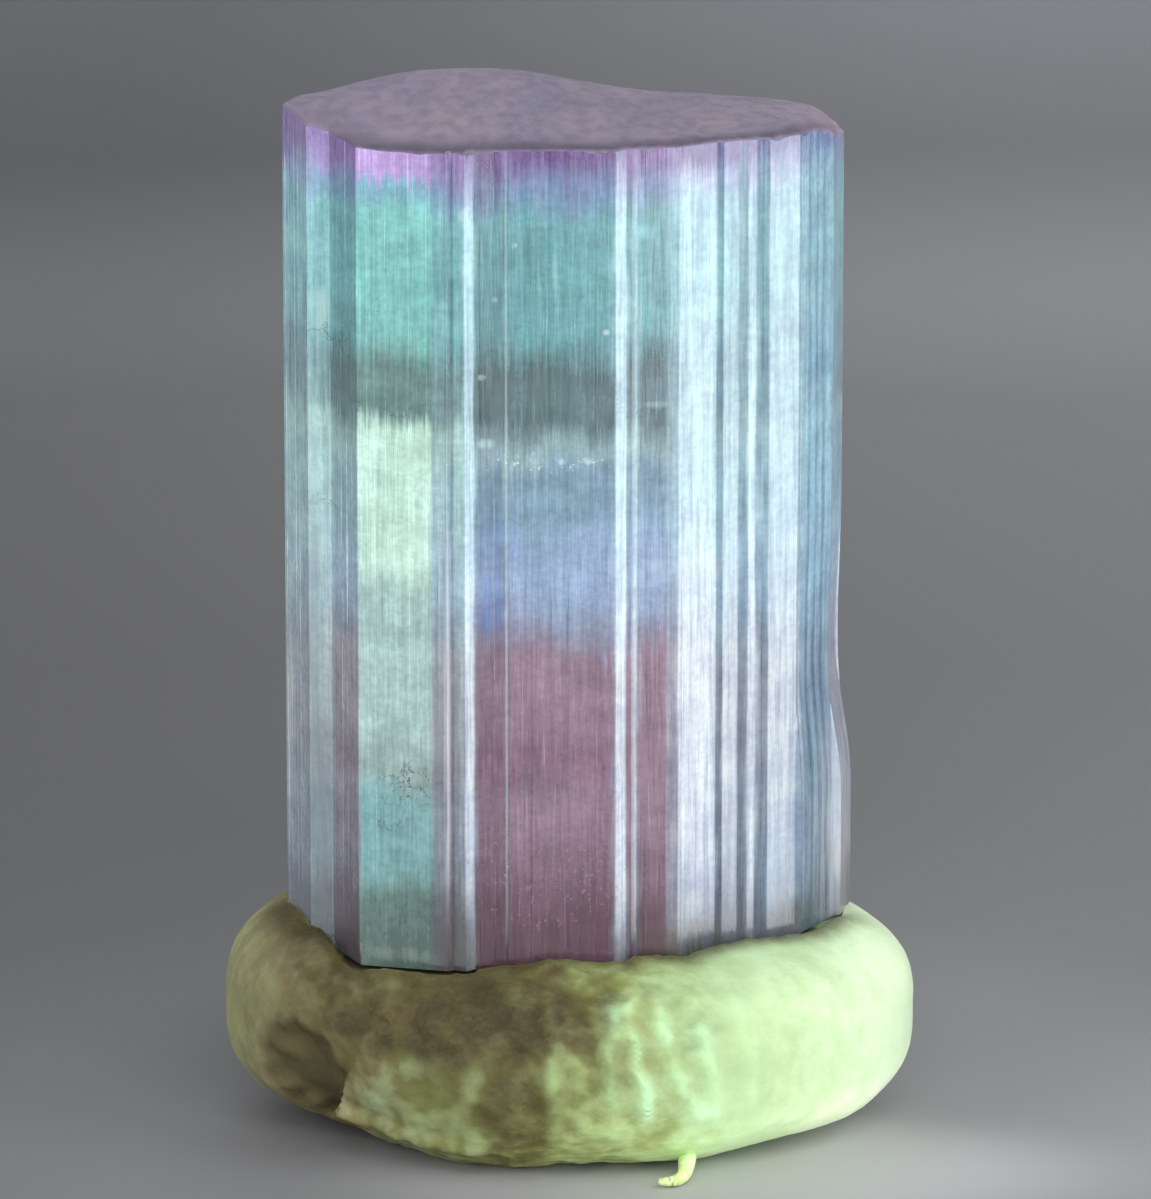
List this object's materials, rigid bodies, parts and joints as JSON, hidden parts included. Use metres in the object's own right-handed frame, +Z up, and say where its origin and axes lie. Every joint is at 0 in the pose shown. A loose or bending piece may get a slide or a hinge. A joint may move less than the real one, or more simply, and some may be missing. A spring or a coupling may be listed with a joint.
{
  "type": "tourmaline crystal",
  "caption": "Stout striated tourmaline prism with a gently sloping matt end face, banded violet, teal, pale green and rose, stood upright in a pad of pale green putty.",
  "frame": {"origin": "on the surface that the part stands on, in the middle of the putty's flat foot", "axes": "+Z up along the crystal, -Y towards the front with the bright end of the prism faces, +X to its right"},
  "size_m": [0.0193, 0.0179, 0.0287],
  "materials": {
    "tourmaline": "glassy, with fine upright striations and a matt end face",
    "putty": "satin, kneaded"
  },
  "bodies": {
    "root": {"tourmaline_crystal": "tourmaline", "putty_base": "putty"}
  },
  "joints": []
}
